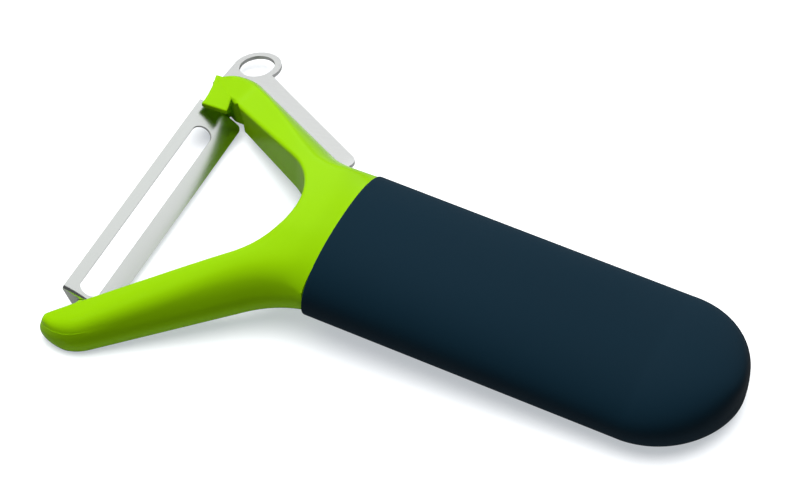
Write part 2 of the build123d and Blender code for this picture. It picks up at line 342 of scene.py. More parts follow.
def tint(tree, shader, factor, paint, darkest, lightest):
    """Varies the base colour by a factor, between two shares of the paint."""
    mix = tree.nodes.new("ShaderNodeMix")
    mix.data_type = "RGBA"
    for socket, share in (("A", darkest), ("B", lightest)):
        mix.inputs[socket].default_value = (*(min(1.0, value * share) for value in paint), 1.0)
    tree.links.new(factor, mix.inputs["Factor"])
    tree.links.new(mix.outputs["Result"], shader.inputs["Base Color"])


def bump(tree, shader, height, distance, strength):
    """Sets a bump of a real depth in metres on the shader."""
    node = tree.nodes.new("ShaderNodeBump")
    node.inputs["Distance"].default_value = distance
    node.inputs["Strength"].default_value = strength
    tree.links.new(height, node.inputs["Height"])
    tree.links.new(node.outputs["Normal"], shader.inputs["Normal"])


def sum_of(tree, first, second):
    """Adds two values."""
    node = tree.nodes.new("ShaderNodeMath")
    node.operation = "ADD"
    tree.links.new(first, node.inputs[0])
    tree.links.new(second, node.inputs[1])
    return node.outputs[0]


def green_plastic(paint):
    """Glossy moulded plastic: faint flow marks in colour and gloss, and a moulding's slight waviness."""
    material, tree, shader, place = new_material("frame_green")
    tint(tree, shader, noise(tree, place, scale=60.0), paint, darkest=0.96, lightest=1.03)
    gloss = ramp(tree, noise(tree, place, scale=240.0), low=0.14, high=0.24)
    tree.links.new(gloss, shader.inputs["Roughness"])
    shader.inputs["IOR"].default_value = 1.49
    shader.inputs["Specular IOR Level"].default_value = 0.16
    shader.inputs["Specular Tint"].default_value = (0.45, 1.0, 0.05, 1.0)
    bump(tree, shader, noise(tree, place, scale=180.0, detail=2.0), distance=0.00003, strength=0.25)
    return material


def soft_rubber(paint):
    """Soft-touch rubber: a fine matt grain with slight handling marks."""
    material, tree, shader, place = new_material("grip_slate")
    tint(tree, shader, noise(tree, place, scale=45.0, detail=4.0), paint, darkest=0.92, lightest=1.08)
    gloss = ramp(tree, noise(tree, place, scale=90.0), low=0.50, high=0.62)
    tree.links.new(gloss, shader.inputs["Roughness"])
    shader.inputs["Specular IOR Level"].default_value = 0.08
    bump(tree, shader, noise(tree, place, scale=4200.0, detail=2.0), distance=0.00002, strength=0.35)
    return material


def rolled_steel(name, paint, smoothest, roughest, stretch):
    """Steel with fine rolling lines, which show in colour, gloss and relief.

    The lines run along the axis that has the lowest stretch."""
    material, tree, shader, place = new_material(name)
    lines = noise(tree, place, scale=1500.0, stretch=stretch)
    tint(tree, shader, lines, paint, darkest=0.94, lightest=1.04)
    tree.links.new(ramp(tree, lines, low=smoothest, high=roughest), shader.inputs["Roughness"])
    shader.inputs["Metallic"].default_value = 1.0
    bump(tree, shader, lines, distance=0.000006, strength=0.2)
    return material


# Frame of the peeler: formulas for its outline and its upper and lower surfaces


class FrameForm:
    """Formulas of the Y-shaped moulding, on whole arrays.

    The crease is a sloping plane. Its outline is a neck line, a blend arc, a straight arm and a round tip.
    Above it an arc rises from a steep shoulder, cut by a crowned top surface; below it a swollen wall goes
    down."""

    # Slopes at which the shoulder's arc starts at the crease, and at which it runs on
    shoulder_start = np.radians(66.0)
    shoulder_end = np.radians(10.0)
    # Heights of the top along the centre line, its radius across the arms and the neck, and how that changes
    top_places = np.array([-8.88, 8.04, 22.0, 32.15, 42.3])
    top_heights = np.array([5.19, 10.59, 15.21, 18.32, 19.8])
    flat_crown = 600.0
    neck_crown = 60.0
    crown_growth = 1.3
    # On the arm with the lug the shoulder starts slower: by this share, up to this place, over this length
    slower_share = 0.35
    slower_up_to = 1.0
    slower_length = 9.0
    # Rounding where shoulder and top meet: everywhere, and more beside the centre line of the plain half
    meeting_round = 0.4
    meeting_more = 2.5
    meeting_lift = 0.1
    meeting_width = 12.0
    # The nose comes down over this length by this much, on the arm with the lug and on the plain one
    nose_length = 1.8
    nose_drop = {1: 0.5, -1: 0.9}
    # The gap's edge stays sharp under the lug: from and to, each with the length over which it changes
    lug_edge_from, lug_edge_start = -5.0, 1.2
    lug_edge_to, lug_edge_end = 3.2, 1.4
    # The top goes down to just under the grip over this length
    grip_approach = 7.0
    under_grip = 0.4
    # The top stays this far above the crease; steps in which its height settles
    above_crease = 0.002
    settling_steps = 12
    # The wall's foot is rounded by this; its rows crowd towards the crease; the nose's foot tucks in quickly
    foot_round = 0.7
    wall_gather = 1.4
    tuck_growth = 1.3
    # Around the nose the foot goes in by at most this share of its radius, and more by this slope behind it
    nose_room = 0.85
    nose_room_slope = 0.5
    # The underside rises towards the gap over this width, by this height
    flare_width = 6.5
    flare_height = 2.4
    # The crest that carries the lug: its height, outline, the slope beside it and the rounding at its foot
    crest_height = 8.4
    crest_corners = ((-3.1, 32.7), (-3.9, 35.1), (0.9, 38.6), (6.0, 38.6), (6.0, 30.0))
    crest_slope = 1.43
    crest_round = 0.3
    # Pocket round the pivot axis in which the blade's ends swing
    pocket_reach = 6.3
    pocket_blend = 0.3
    pocket_wall = 30.1
    # The tips are pressed back from here on, and end this far inside the solids' box and over the table
    tip_press = -3.0
    tip_clearance = 0.02
    table_gap = 0.1
    # Where the moulding ends inside the grip
    back = 43.0

    def __init__(self, sizes, grip):
        self.sizes, self.grip = sizes, grip
        self.cos_tilt, self.sin_tilt = np.cos(sizes.crease_tilt), np.sin(sizes.crease_tilt)
        self.tip = np.array([sizes.tip_x, sizes.tip_y])
        self.blend_middle = np.array([sizes.neck_blend_place, sizes.neck_half_width + sizes.neck_blend])
        reach = self.blend_middle - self.tip
        both_radii = sizes.tip_radius + sizes.neck_blend
        self.arm_angle = np.arcsin(both_radii / np.hypot(*reach)) - np.arctan2(reach[1], reach[0])
        self.outward = np.array([np.sin(self.arm_angle), np.cos(self.arm_angle)])
        self.backward = np.array([np.cos(self.arm_angle), -np.sin(self.arm_angle)])
        corner_distance = np.hypot(sizes.wall_at_tip, sizes.crotch_center)
        self.inner_angle = np.arccos(sizes.crotch_radius / corner_distance) - np.arctan2(
            sizes.crotch_center, sizes.wall_at_tip
        )
        self.inner_outward = np.array([np.sin(self.inner_angle), np.cos(self.inner_angle)])
        self.inner_forward = np.array([-np.cos(self.inner_angle), np.sin(self.inner_angle)])
        self.height_curve = np.polyfit(self.top_places, self.top_heights, 4)
        self.nose_middle, self.nose_turn = self.find_nose()

    def find_nose(self):
        """Middle of the small arc that touches the tip from inside and the gap's wall, and its three angles.

        It lies on a line beside the gap's wall, as far from the tip's middle as the two radii differ. The
        angles are those of the arc's start, middle and end."""
        radius = self.sizes.nose_radius
        start = np.array([0.0, self.sizes.wall_at_tip]) + radius * self.inner_outward
        offset = start - self.tip
        forward = self.inner_forward
        half = offset @ forward
        travel = -half + np.sqrt(half**2 - offset @ offset + (self.sizes.tip_radius - radius) ** 2)
        middle = start + travel * forward
        outer_turn = np.arctan2(*(middle - self.tip)[::-1])
        inner_turn = np.arctan2(-self.inner_outward[1], -self.inner_outward[0]) + 2.0 * np.pi
        return middle, (outer_turn, (outer_turn + inner_turn) / 2.0, inner_turn)

    def world(self, along, y, height):
        """Crease coordinates to millimetres over the table."""
        x = along * self.cos_tilt - height * self.sin_tilt
        z = self.sizes.crease_rise + along * self.sin_tilt + height * self.cos_tilt
        return np.stack(np.broadcast_arrays(x, y, z), axis=-1)

    def crease_height(self, x):
        """Height of the crease over the table."""
        return self.sizes.crease_rise + x * self.sin_tilt / self.cos_tilt

    def inset(self, along, y):
        """How far a point of the crease plane lies inside the outline."""
        sizes = self.sizes
        out = (along - self.tip[0]) * self.outward[0] + (y - self.tip[1]) * self.outward[1]
        back = (along - self.tip[0]) * self.backward[0] + (y - self.tip[1]) * self.backward[1]
        blend_back = (self.blend_middle - self.tip) @ self.backward
        on_arm = sizes.tip_radius - out
        on_tip = np.sqrt(np.maximum(sizes.tip_radius**2 - np.minimum(back, 0.0) ** 2, 0.0)) - out
        on_blend = np.hypot(along - self.blend_middle[0], y - self.blend_middle[1]) - sizes.neck_blend
        on_neck = sizes.neck_half_width - y
        return np.select(
            [along >= sizes.neck_blend_place, back >= blend_back, back >= 0.0],
            [on_neck, on_blend, on_arm],
            on_tip,
        )

    def dome(self, inset):
        """Rise of the shoulder over the crease: an arc that starts steep, then runs on at its last slope."""
        radius = self.sizes.dome_radius
        arc_width = radius * (np.sin(self.shoulder_start) - np.sin(self.shoulder_end))
        on_arc = np.clip(inset, 0.0, arc_width)
        rise = radius * (
            np.sqrt(1.0 - (np.sin(self.shoulder_start) - on_arc / radius) ** 2) - np.cos(self.shoulder_start)
        )
        return rise + np.maximum(inset - arc_width, 0.0) * np.tan(self.shoulder_end)

    def opening_distance(self, x, y):
        """Distance outwards from the wall of the gap between the arms."""
        sizes = self.sizes
        turn = np.arctan2(y, x - sizes.crotch_center)
        on_crotch = np.hypot(x - sizes.crotch_center, y) - sizes.crotch_radius
        on_wall = x * self.inner_outward[0] + (y - sizes.wall_at_tip) * self.inner_outward[1]
        return np.where(turn < np.pi / 2.0 - self.inner_angle, on_crotch, on_wall)

    def crest(self, x, y):
        """Height of the raised crest that carries the lug: level inside its outline, falling outside it."""
        corners = np.array(self.crest_corners)
        ends = np.roll(corners, -1, axis=0)
        outside = np.zeros(np.broadcast(x, y).shape)
        for start, end in zip(corners, ends):
            side = (end - start) / np.hypot(*(end - start))
            outside = np.maximum(outside, (x - start[0]) * -side[1] + (y - start[1]) * side[0])
        return self.crest_height - outside * self.crest_slope

    def top(self, x, y, side):
        """Height of the upper surface: the lower of shoulder and crowned top, rounded at the gap's edge.

        Side is 1 on the arm with the lug and -1 on the plain one. The shoulder stands square on the crease
        plane, so its height over a point is found by steps that settle quickly."""
        sizes = self.sizes
        crown_share = smooth_step((x - self.top_places[2]) / (self.top_places[4] - self.top_places[2]))
        flat, round_neck = 1.0 / self.flat_crown, 1.0 / self.neck_crown
        crown = flat + (round_neck - flat) * crown_share**self.crown_growth
        envelope = np.polyval(self.height_curve, x) - arc_fall(y * crown) / crown
        edge = np.clip(self.opening_distance(x, y) / sizes.edge_round, 0.0, 1.0)
        drop = sizes.edge_round * arc_fall(1.0 - edge)
        if side > 0:
            envelope = smooth_lower(envelope, self.crest(x, y), -self.crest_round)
            slower = self.slower_share * (1.0 - smooth_step((x - self.slower_up_to) / self.slower_length))
            under_lug = smooth_step((x - self.lug_edge_from) / self.lug_edge_start)
            under_lug = under_lug * smooth_step((self.lug_edge_to - x) / self.lug_edge_end)
            drop = drop * (1.0 - under_lug)
            rounding = 0.0
        else:
            slower = 0.0
            rounding = smooth_step(np.abs(y) / self.meeting_width)
        z = self.crease_height(x)
        for step in range(self.settling_steps):
            along = x * self.cos_tilt + (z - sizes.crease_rise) * self.sin_tilt
            rise = self.dome(self.inset(along, y) * (1.0 - slower))
            z = sizes.crease_rise + (rise + x * self.sin_tilt) / self.cos_tilt
        from_nose = x - (self.nose_middle[0] - sizes.nose_radius)
        front_drop = self.nose_drop[side] * arc_fall(1.0 - np.clip(from_nose / self.nose_length, 0.0, 1.0))
        reach = self.meeting_round + self.meeting_more * rounding
        met = smooth_lower(z, envelope + self.meeting_lift * rounding, reach)
        lowered = met - np.maximum(drop, front_drop)
        approach = smooth_step((x - self.grip.front + self.grip_approach) / self.grip_approach)
        lowered = lowered + approach * (np.minimum(lowered, self.grip_height(y)) - lowered)
        return np.maximum(lowered, self.crease_height(x) + self.above_crease)

    def grip_height(self, y):
        """Height just under the grip's upper surface, at its front."""
        half_width, above, below, level = grip_section(np.array(self.grip.front), self.grip)
        across = np.clip(np.abs(y) / half_width, 0.0, 1.0)
        power = self.grip.squareness
        return level + above * (1.0 - across**power) ** (1.0 / power) - self.under_grip

    def outer_path(self):
        """The crease outline from the neck's back to the nose, in four stretches."""
        sizes = self.sizes
        nose, turns = self.nose_middle, self.nose_turn
        width = sizes.neck_half_width
        neck = np.array([[self.back, width], [sizes.neck_blend_place, width]])
        blend = arc_points(self.blend_middle, sizes.neck_blend, -np.pi / 2, -np.pi / 2 - self.arm_angle)
        arm_end = self.tip + self.outward * sizes.tip_radius
        arm = np.array([blend[-1], arm_end])
        tip = arc_points(self.tip, sizes.tip_radius, np.pi / 2 - self.arm_angle, turns[0])
        tip = np.concatenate([tip, arc_points(nose, sizes.nose_radius, turns[0], turns[1])[1:]])
        return neck, blend, arm, tip

    def inner_path(self):
        """The gap's outline, from the centre line behind the crotch to the nose, in four stretches."""
        sizes = self.sizes
        nose, turns = self.nose_middle, self.nose_turn
        crotch_back = sizes.crotch_center + sizes.crotch_radius
        centre = np.array([[self.back, 0.0], [crotch_back, 0.0]])
        crotch_middle = (sizes.crotch_center, 0.0)
        crotch = arc_points(crotch_middle, sizes.crotch_radius, 0.0, np.pi / 2 - self.inner_angle)
        opposite = self.tip - self.outward * ((self.tip - [0.0, sizes.wall_at_tip]) @ self.inner_outward)
        wall = np.array([crotch[-1], opposite])
        touch = nose - self.inner_outward * sizes.nose_radius
        round_nose = arc_points(nose, sizes.nose_radius, turns[2], turns[1])
        return centre, crotch, wall, np.concatenate([[opposite, touch], round_nose[1:]])


# Columns along the four stretches of an outline, and how much each stretch crowds towards its end
COLUMNS = (18, 44, 60, 90)
GATHERS = (1.0, 1.0, 1.0, 1.9)
# Columns over which the nose closes
NOSE_COLUMNS = 30
# Rows up the wall and down the gap's wall, over the top, on the gap's rounded edge and under the arm
WALL_ROWS = 14
TOP_ROWS, TOP_GATHER = 34, 1.25
EDGE_ROWS = 7
UNDER_ROWS = 16


def outline_columns(paths):
    """Points along the four stretches of an outline, which share their ends."""
    stretches = [along_path(*stretch) for stretch in zip(paths, COLUMNS, GATHERS)]
    return np.concatenate([stretches[0]] + [points[1:] for points in stretches[1:]])


def outer_wall(form, outer):
    """The wall below the crease: rows from its foot up, set in from the outer outline along its normal.

    Two parabolas over the depth add up: one swells the wall and one tucks its foot in. An arc rounds the
    foot."""
    sizes = form.sizes
    along = np.gradient(outer, axis=0)
    along /= np.hypot(*along.T)[:, None]
    normal = np.stack([along[:, 1], -along[:, 0]], axis=1)
    whole, swell = sizes.wall_depth, sizes.wall_bulge_depth
    depth = whole * (1.0 - np.linspace(0.0, 1.0, WALL_ROWS) ** form.wall_gather)[:, None]
    forward = smooth_step(-normal[:, 0] * form.tuck_growth)
    tuck = sizes.wall_tuck + (sizes.front_tuck - sizes.wall_tuck) * forward
    bulge_share = depth * (whole - depth) / (swell * (whole - swell))
    tuck_share = depth * (depth - swell) / (whole * (whole - swell))
    foot = form.foot_round * arc_fall(np.clip((depth - whole) / form.foot_round + 1.0, 0.0, 1.0))
    pulled = -sizes.wall_bulge * bulge_share + tuck * tuck_share + foot

    # Round the small nose the foot goes in by less than the nose's radius, or it would fold over
    steps = np.hypot(*np.diff(outer, axis=0).T)
    to_nose = np.concatenate([np.cumsum(steps[::-1])[::-1], [0.0]])
    nose_arc = sizes.nose_radius * abs(form.nose_turn[1] - form.nose_turn[0])
    room = form.nose_room * sizes.nose_radius + form.nose_room_slope * np.maximum(to_nose - nose_arc, 0.0)
    pulled = np.where(pulled > 0.0, pulled * np.minimum(1.0, room / pulled.max(axis=0)), pulled)
    return form.world(outer[:, 0] - normal[:, 0] * pulled, outer[:, 1] - normal[:, 1] * pulled, -depth)


def upper_rows(form, side, crease, edge):
    """The shoulder and the top: rows from the crease to the gap's edge, the last ones on its rounding."""
    edge_round = form.sizes.edge_round
    gap = np.hypot(*(crease - edge).T)
    share = np.linspace(0.0, 1.0, TOP_ROWS)[1:-1, None] ** TOP_GATHER
    on_edge = edge_round * (1.0 - np.sin(np.linspace(0.0, np.pi / 2, EDGE_ROWS)))[:, None]
    from_edge = np.concatenate([
        (1.0 - share) * np.maximum(gap - edge_round, 0.0) + np.minimum(edge_round, gap),
        np.minimum(on_edge, gap),
    ])
    direction = (crease - edge) / np.maximum(gap, 1e-9)[:, None]
    x = edge[:, 0] + direction[:, 0] * from_edge
    y = edge[:, 1] + direction[:, 1] * from_edge
    return np.stack([x, y, form.top(x, y, side)], axis=-1)


def gap_wall_rows(form, edge, height):
    """The gap's wall: rows straight down from the top's edge to the flared underside."""
    foot = form.world(edge[:, 0], edge[:, 1], form.flare_height - form.sizes.wall_depth)[:, 2]
    down = np.linspace(0.0, 1.0, WALL_ROWS)[1:, None]
    z = height * (1.0 - down) + foot * down
    return np.stack(np.broadcast_arrays(edge[:, 0], edge[:, 1], z), axis=-1)


def underside_rows(form, edge, foot):
    """The underside: rows from the gap to the wall's foot, raised in a straight flare near the gap."""
    back = np.linspace(0.0, 1.0, UNDER_ROWS)[1:-1, None]
    x = edge[:, 0] * (1.0 - back) + foot[:, 0] * back
    y = edge[:, 1] * (1.0 - back) + foot[:, 1] * back
    flare = form.flare_height * np.clip(1.0 - form.opening_distance(x, y) / form.flare_width, 0.0, 1.0)
    z = form.crease_height(x) - (form.sizes.wall_depth - flare) / form.cos_tilt
    return np.stack([x, y, z], axis=-1)


def press_tips(form, rows):
    """Presses the tips back smoothly, so that they end where the solids do.

    A point that lies over by some length goes back to over / (1 + over / give), which just uses the room."""
    room = form.tip_press - (cad_low[0] - pivot_foot[0]) / MM - form.tip_clearance
    over = np.maximum(form.tip_press - rows[..., 0], 0.0)
    give = room * over.max() / (over.max() - room)
    rows[..., 0] += over - over / (1.0 + over / give)


def cut_pocket(form, rows):
    """Moves the gap's wall out to a level wall near the pivot axis, and keeps everything over the table."""
    from_axis = np.hypot(rows[..., 0], rows[..., 2] - pivot_height)
    near = smooth_step((form.pocket_reach - from_axis) / form.pocket_blend)
    rows[..., 1] += near * np.maximum(form.pocket_wall - rows[..., 1], 0.0)
    rows[..., 2] = np.maximum(rows[..., 2], form.table_gap)


def frame_half(form, side):
    """One arm with its half of the neck: a closed section carried from the neck to the nose.

    Each column pairs a point of the outer outline with one of the gap's outline. Its rows go up the swollen
    wall, over the shoulder and the top, down the gap's wall and back along the flared underside."""
    outer, inner = outline_columns(form.outer_path()), outline_columns(form.inner_path())
    columns = len(outer)
    wall = outer_wall(form, outer)
    crease = wall[-1, :, :2]
    closing = smooth_step((np.arange(columns) - (columns - NOSE_COLUMNS)) / (NOSE_COLUMNS - 1.0))[:, None]
    edge = inner + closing * (crease[-1] - inner[-1])
    top = upper_rows(form, side, crease, edge)
    gap_wall = gap_wall_rows(form, edge, top[-1, :, 2])
    lower = np.concatenate([gap_wall, underside_rows(form, edge, wall[0, :, :2])])

    # The nose closes where the two walls meet: the last column runs back down the outer wall
    downward = np.round(np.linspace(WALL_ROWS - 1, 0, len(lower))).astype(int)
    lower += closing * (wall[downward, -1] - lower[:, -1])[:, None, :]
    top[..., 2] += closing[:, 0] * (wall[-1, -1, 2] - top[:, -1, 2])[:, None]
    top[:, -1] = wall[-1, -1]
    rows = np.concatenate([wall, top, lower])
    press_tips(form, rows)
    cut_pocket(form, rows)

    # The two halves meet along the neck's centre line, so the gap's wall has no faces there
    faces = grid_quads(len(rows), columns, wrap=True)
    row, column = faces[:, 0] // columns, faces[:, 0] % columns
    first = len(wall) + len(top) - 1
    in_gap_wall = (row >= first) & (row < first + len(gap_wall))
    faces = faces[~(in_gap_wall & (column < COLUMNS[0] - 1))]

    # Cap inside the grip: a fan round the middle of the first column
    ring = np.arange(len(rows)) * columns
    middle = np.full(len(rows), len(rows) * columns)
    cap = np.stack([ring, np.roll(ring, -1), middle, middle], axis=1)
    points = np.concatenate([rows.reshape(-1, 3), rows[:, 0].mean(axis=0)[None]])
    return points * [1.0, side, 1.0], np.concatenate([faces, cap])


def superellipse(half_width, above, below, level, power, around):
    """Closed rings across the handle: superellipses whose halves above and below their level differ."""
    turn = np.linspace(0.0, 2.0 * np.pi, around + 1)
    wide = np.sign(np.cos(turn)) * np.abs(np.cos(turn)) ** (2.0 / power)
    high = np.sign(np.sin(turn)) * np.abs(np.sin(turn)) ** (2.0 / power)
    height = np.where(turn < np.pi, above[:, None], below[:, None])
    return half_width[:, None] * wide, level[:, None] + height * high


# Half width, height above and depth below the widest level, and that level, at the grip's front and end
GRIP_SECTION = ((18.8, 19.2), (8.4, 6.6), (7.2, 7.6), (11.4, 7.3))


def grip_section(x, sizes):
    """The four measures of the grip's section along the handle, straight up to where its end is rounded."""
    end_start = sizes.end - sizes.end_radius
    share = (np.minimum(x, end_start) - sizes.front) / (end_start - sizes.front)
    return tuple(front + (end - front) * share for front, end in GRIP_SECTION)


def chin_shell(sizes):
    """The neck's thickening: rings that grow from a small one inside the neck to just inside the grip."""
    start, smallest, clearance = 30.0, (11.0, 3.0, 3.0, 12.5), (0.5, 0.6, 0.5, 0.0)
    x = np.linspace(32.6, 43.0, 40)
    share = np.clip((x - start) / (sizes.front - start), 0.0, 1.0)
    rings, closing = closed_ends(len(x))
    half_width, above, below, level = (
        (small + (full - less - small) * share)[rings]
        for small, less, full in zip(smallest, clearance, grip_section(np.full_like(x, sizes.front), sizes))
    )
    y, z = superellipse(
        half_width * closing, above * closing, below * closing, level, sizes.squareness, around=96
    )
    points = np.stack(np.broadcast_arrays(x[rings][:, None], y, z), axis=-1)
    return points.reshape(-1, 3), grid_quads(*y.shape)


class PEELER_OT_frame(bpy.types.Operator):
    """Makes the green Y-shaped moulding with its chin, bosses and stop lug"""

    bl_idname = "peeler.frame"
    bl_label = "Frame"

    # Bosses that carry the pins: a cone's radii, and its ends past the ends of the blade
    boss_radii = (0.0, 1.5, 2.3, 0.0)
    boss_ends = (0.3, 3.3)

    def execute(self, context):
        settings = context.scene.peeler
        grip, blade = in_millimetres(settings.grip), in_millimetres(settings.blade)
        form = FrameForm(in_millimetres(settings.frame), grip)
        shells = [frame_half(form, 1), frame_half(form, -1), chin_shell(grip)]
        for side in (1, -1):
            near, far = (side * (blade.span / 2 + end) for end in self.boss_ends)
            shells.append(revolve_y(self.boss_radii, [near, near, far, far], 0.0, pivot_height))
        points, faces = join_shells(*shells)
        paint = green_plastic(form.sizes.paint)
        piece = make_piece(
            "frame_moulding", points, faces, paint, HANDLE_BODY,
            merge=0.0002, smooth_angle=20.0,
        )
        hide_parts("frame")
        self.make_lug(form, paint)
        return {"FINISHED"}

    def make_lug(self, form, paint):
        """The stop lug: squarish rings from inside the arm to the tongue's end, deep at the foot, then thin.

        Its front and rear flanks are broken lines over y. The last rings shrink in a quarter circle. A ring
        is a superellipse, with a higher power where it is deeper, so that its edges stay equally sharp."""
        front_line = ([27.2, 28.4, 30.3, 32.6, 35.15, 36.0], [-3.2, -3.1, -3.2, -3.5, -4.1, -4.3])
        rear_line = ([27.2, 28.4, 30.5, 32.5, 36.0], [2.7, 2.55, 2.0, 1.75, 1.7])
        inside_arm, end_round, end_start = 36.0, 0.35, 27.55
        tongue_depth, foot_depth, foot_from, foot_blend = 1.3, 3.2, 31.3, 1.9
        below_crest, edge_radius, around = 0.03, 0.14, 65
        end_turn = np.linspace(0.0, np.pi / 2, 7)
        y = np.concatenate([np.linspace(inside_arm, 27.6, 46), end_start - end_round * np.sin(end_turn)])
        front, rear = np.interp(y, *front_line), np.interp(y, *rear_line)
        foot = form.crest_height - tongue_depth - foot_depth * smooth_step((y - foot_from) / foot_blend)
        top = form.crest_height - below_crest
        shrink = end_round * arc_fall(np.clip((end_start - y) / end_round, 0.0, 1.0))
        half_width, half_height = (rear - front) / 2 - shrink, (top - foot) / 2 - shrink
        rings, closing = closed_ends(len(y))
        turn = np.linspace(0.0, 2.0 * np.pi, around)
        cosine, sine = np.round(np.cos(turn), 12), np.round(np.sin(turn), 12)
        power = np.clip(half_height / edge_radius, 4.0, 14.0)[rings][:, None]
        wide = np.sign(cosine) * np.abs(cosine) ** (2.0 / 9.0)
        high = np.sign(sine) * np.abs(sine) ** (2.0 / power)
        x = ((front + rear) / 2)[rings][:, None] + (half_width[rings] * closing)[:, None] * wide
        z = ((foot + top) / 2)[rings][:, None] + (half_height[rings] * closing)[:, None] * high
        points = np.stack(np.broadcast_arrays(x, y[rings][:, None], z), axis=-1).reshape(-1, 3)
        return make_piece("stop_lug", points, grid_quads(*x.shape), paint, HANDLE_BODY)


class PEELER_OT_grip(bpy.types.Operator):
    """Makes the soft grip: superellipse rings with a rounded lip and a rounded end"""

    bl_idname = "peeler.grip"
    bl_label = "Grip"

    # Power of the end's thickness over its width: low keeps it full
    end_fullness = 0.46
    lip_rings, body_rings, end_rings = 9, 70, 48

    def execute(self, context):
        sizes = in_millimetres(context.scene.peeler.grip)
        turn = np.linspace(0.0, np.pi / 2, self.lip_rings)
        lip_x = sizes.front + sizes.lip_round * (1.0 - np.cos(turn))
        lip_inset = sizes.lip_round * (1.0 - np.sin(turn))
        end_start = sizes.end - sizes.end_radius
        body_x = np.linspace(lip_x[-1], end_start, self.body_rings)[1:]
        end_turn = np.linspace(0.0, np.pi / 2, self.end_rings)[1:]
        end_x = end_start + sizes.end_radius * np.sin(end_turn)
        x = np.concatenate([[sizes.front], lip_x, body_x, end_x])
        inset = np.zeros(len(x))
        inset[: len(lip_inset) + 1] = np.concatenate([[sizes.lip_round], lip_inset])

        # Shares of the width and height: a first point closes the front, and the end narrows to a point
        narrow, thin = np.ones((2, len(x)))
        narrow[-len(end_turn):] = np.cos(end_turn)
        thin[-len(end_turn):] = np.abs(np.cos(end_turn)) ** self.end_fullness
        narrow[[0, -1]] = thin[[0, -1]] = 0.0
        half_width, above, below, level = grip_section(x, sizes)
        y, z = superellipse(
            (half_width - inset) * narrow, (above - inset) * thin, (below - inset) * thin, level,
            sizes.squareness, around=128,
        )
        points = np.stack(np.broadcast_arrays(x[:, None], y, np.maximum(z, 0.0)), axis=-1).reshape(-1, 3)
        paint = soft_rubber(sizes.paint)
        piece = make_piece("soft_grip", points, grid_quads(*y.shape), paint, HANDLE_BODY)
        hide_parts("grip")
        return {"FINISHED"}


